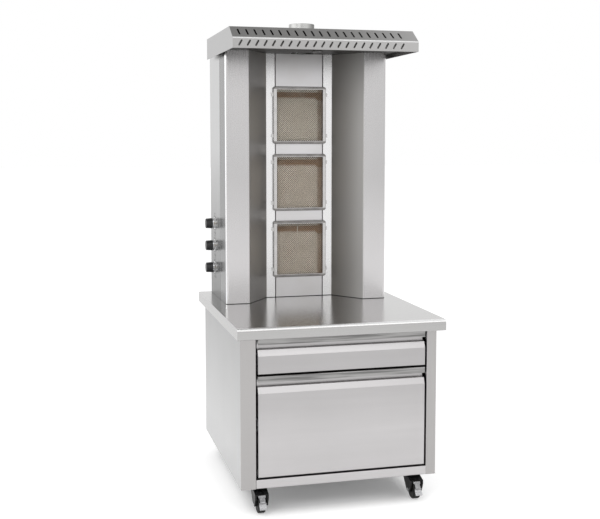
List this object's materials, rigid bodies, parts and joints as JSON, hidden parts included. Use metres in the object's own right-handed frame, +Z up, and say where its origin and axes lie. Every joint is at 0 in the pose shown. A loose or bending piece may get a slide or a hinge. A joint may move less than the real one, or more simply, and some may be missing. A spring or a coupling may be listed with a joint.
{
  "type": "doner kebab grill",
  "caption": "Upright doner kebab grill: infrared burners between polished wings under a slotted hood, on a castor cabinet with deep drawers.",
  "frame": {"origin": "on the floor under the centre of the outline", "axes": "+X to the right seen from the front, +Y to the back, +Z up; the drawers open towards -Y"},
  "size_m": [0.75, 0.878, 1.7415],
  "materials": {
    "sheet_steel": "fine brushed stainless sheet",
    "polished_steel": "bright rolled stainless sheet",
    "runner_steel": "zinc plated",
    "burner_enamel": "heat-stained",
    "burner_ceramic": "matt porous",
    "gauze_wire": "heat-tinted wire",
    "gas_steel": "plated pipe",
    "gas_brass": "turned",
    "gas_pipe_metal": "drawn tube",
    "bezel_metal": "brushed disc",
    "knob_black": "moulded, bright skirt",
    "motor_paint": "grey enamel",
    "socket_steel": "turned stainless",
    "gland_black": "moulded",
    "castor_black": "black pressed steel",
    "wheel_black": "solid rubber",
    "pedal_chrome": "plated"
  },
  "bodies": {
    "grill_frame": {"worktop": "sheet_steel", "cabinet_left_side": "sheet_steel", "cabinet_right_side": "sheet_steel", "cabinet_bottom_rail": "sheet_steel", "cabinet_floor": "sheet_steel", "cabinet_back": "sheet_steel", "cabinet_top_rails": "sheet_steel", "tower_left_side": "sheet_steel", "tower_right_side": "sheet_steel", "tower_back_cover": "sheet_steel", "hood_shell": "sheet_steel", "hood_deck": "sheet_steel", "infill_plates": "sheet_steel", "left_wing": "polished_steel", "right_wing": "polished_steel", "flue_collar": "polished_steel", "burner_guard_top": "polished_steel", "burner_guard_middle": "polished_steel", "burner_guard_bottom": "polished_steel", "runner_rails": "runner_steel", "assembly_screws": "runner_steel", "castor_plates": "runner_steel", "burner_casings": "burner_enamel", "burner_tiles": "burner_ceramic", "burner_gauze_top": "gauze_wire", "burner_gauze_middle": "gauze_wire", "burner_gauze_bottom": "gauze_wire", "gas_manifold": "gas_steel", "gas_taps": "gas_brass", "gas_injectors": "gas_brass", "gas_pipes": "gas_pipe_metal", "thermocouples": "gas_pipe_metal", "knob_bezels": "bezel_metal", "spit_gearmotor": "motor_paint", "cable_gland": "gland_black"},
    "upper_drawer": {"upper_drawer_front": "sheet_steel", "upper_drawer_tray": "sheet_steel", "upper_inner_members": "runner_steel"},
    "lower_drawer": {"lower_drawer_front": "sheet_steel", "lower_drawer_tray": "sheet_steel", "lower_inner_members": "runner_steel"},
    "upper_runner_middle": {"upper_middle_members": "runner_steel"},
    "lower_runner_middle": {"lower_middle_members": "runner_steel"},
    "spit_socket": {"drive_socket": "socket_steel"},
    "top_tap_stem": {"tap_stem_top": "gas_brass"},
    "top_knob": {"knob_top": "knob_black"},
    "middle_tap_stem": {"tap_stem_middle": "gas_brass"},
    "middle_knob": {"knob_middle": "knob_black"},
    "bottom_tap_stem": {"tap_stem_bottom": "gas_brass"},
    "bottom_knob": {"knob_bottom": "knob_black"},
    "front_left_fork": {"castor_fork_front_left": "castor_black"},
    "front_left_wheel": {"castor_wheel_front_left": "wheel_black"},
    "front_right_fork": {"castor_fork_front_right": "castor_black"},
    "front_right_wheel": {"castor_wheel_front_right": "wheel_black"},
    "rear_left_fork": {"castor_fork_rear_left": "castor_black"},
    "rear_left_wheel": {"castor_wheel_rear_left": "wheel_black"},
    "rear_right_fork": {"castor_fork_rear_right": "castor_black"},
    "rear_right_wheel": {"castor_wheel_rear_right": "wheel_black"},
    "front_left_brake": {"brake_pedal_front_left": "pedal_chrome"},
    "front_right_brake": {"brake_pedal_front_right": "pedal_chrome"}
  },
  "joints": [
    {"name": "upper_drawer_slide", "type": "slide", "parent": "grill_frame", "child": "upper_drawer", "axis": [0, -1, 0], "range_m": [0, 0.56]},
    {"name": "lower_drawer_slide", "type": "slide", "parent": "grill_frame", "child": "lower_drawer", "axis": [0, -1, 0], "range_m": [0, 0.56]},
    {"name": "upper_runner_slide", "type": "slide", "parent": "grill_frame", "child": "upper_runner_middle", "axis": [0, -1, 0], "range_m": [0, 0.28]},
    {"name": "lower_runner_slide", "type": "slide", "parent": "grill_frame", "child": "lower_runner_middle", "axis": [0, -1, 0], "range_m": [0, 0.28]},
    {"name": "top_tap_turn", "type": "hinge", "parent": "grill_frame", "child": "top_tap_stem", "pos_m": [-0.322, 0.314, 0.9545], "axis": [-1, 0, 0], "range_deg": [0, 180]},
    {"name": "top_knob_push", "type": "slide", "parent": "top_tap_stem", "child": "top_knob", "axis": [1, 0, 0], "range_m": [0, 0.003], "stiffness_N_per_m": 600, "springref_m": -0.003},
    {"name": "middle_tap_turn", "type": "hinge", "parent": "grill_frame", "child": "middle_tap_stem", "pos_m": [-0.322, 0.314, 0.8648], "axis": [-1, 0, 0], "range_deg": [0, 180]},
    {"name": "middle_knob_push", "type": "slide", "parent": "middle_tap_stem", "child": "middle_knob", "axis": [1, 0, 0], "range_m": [0, 0.003], "stiffness_N_per_m": 600, "springref_m": -0.003},
    {"name": "bottom_tap_turn", "type": "hinge", "parent": "grill_frame", "child": "bottom_tap_stem", "pos_m": [-0.322, 0.314, 0.7751], "axis": [-1, 0, 0], "range_deg": [0, 180]},
    {"name": "bottom_knob_push", "type": "slide", "parent": "bottom_tap_stem", "child": "bottom_knob", "axis": [1, 0, 0], "range_m": [0, 0.003], "stiffness_N_per_m": 600, "springref_m": -0.003},
    {"name": "front_left_swivel", "type": "hinge", "parent": "grill_frame", "child": "front_left_fork", "pos_m": [-0.2845, -0.347, 0.078], "axis": [0, 0, 1], "continuous": true},
    {"name": "front_left_roll", "type": "hinge", "parent": "front_left_fork", "child": "front_left_wheel", "pos_m": [-0.2845, -0.377, 0.033], "axis": [1, 0, 0], "continuous": true},
    {"name": "front_right_swivel", "type": "hinge", "parent": "grill_frame", "child": "front_right_fork", "pos_m": [0.2845, -0.347, 0.078], "axis": [0, 0, 1], "continuous": true},
    {"name": "front_right_roll", "type": "hinge", "parent": "front_right_fork", "child": "front_right_wheel", "pos_m": [0.2845, -0.377, 0.033], "axis": [1, 0, 0], "continuous": true},
    {"name": "rear_left_swivel", "type": "hinge", "parent": "grill_frame", "child": "rear_left_fork", "pos_m": [-0.2845, 0.313, 0.078], "axis": [0, 0, 1], "continuous": true},
    {"name": "rear_left_roll", "type": "hinge", "parent": "rear_left_fork", "child": "rear_left_wheel", "pos_m": [-0.2845, 0.283, 0.033], "axis": [1, 0, 0], "continuous": true},
    {"name": "rear_right_swivel", "type": "hinge", "parent": "grill_frame", "child": "rear_right_fork", "pos_m": [0.2845, 0.313, 0.078], "axis": [0, 0, 1], "continuous": true},
    {"name": "rear_right_roll", "type": "hinge", "parent": "rear_right_fork", "child": "rear_right_wheel", "pos_m": [0.2845, 0.283, 0.033], "axis": [1, 0, 0], "continuous": true},
    {"name": "front_left_brake_press", "type": "hinge", "parent": "front_left_fork", "child": "front_left_brake", "pos_m": [-0.2845, -0.3971, 0.065], "axis": [1, 0, 0], "range_deg": [0, 7.5]},
    {"name": "front_right_brake_press", "type": "hinge", "parent": "front_right_fork", "child": "front_right_brake", "pos_m": [0.2845, -0.3971, 0.065], "axis": [1, 0, 0], "range_deg": [0, 7.5]},
    {"name": "spit_turn", "type": "hinge", "parent": "grill_frame", "child": "spit_socket", "pos_m": [0, -0.079, 1.632], "axis": [0, 0, 1], "continuous": true}
  ],
  "couplings": [
    {"joint": "upper_runner_slide", "follows": "upper_drawer_slide", "ratio": 0.5},
    {"joint": "lower_runner_slide", "follows": "lower_drawer_slide", "ratio": 0.5}
  ]
}
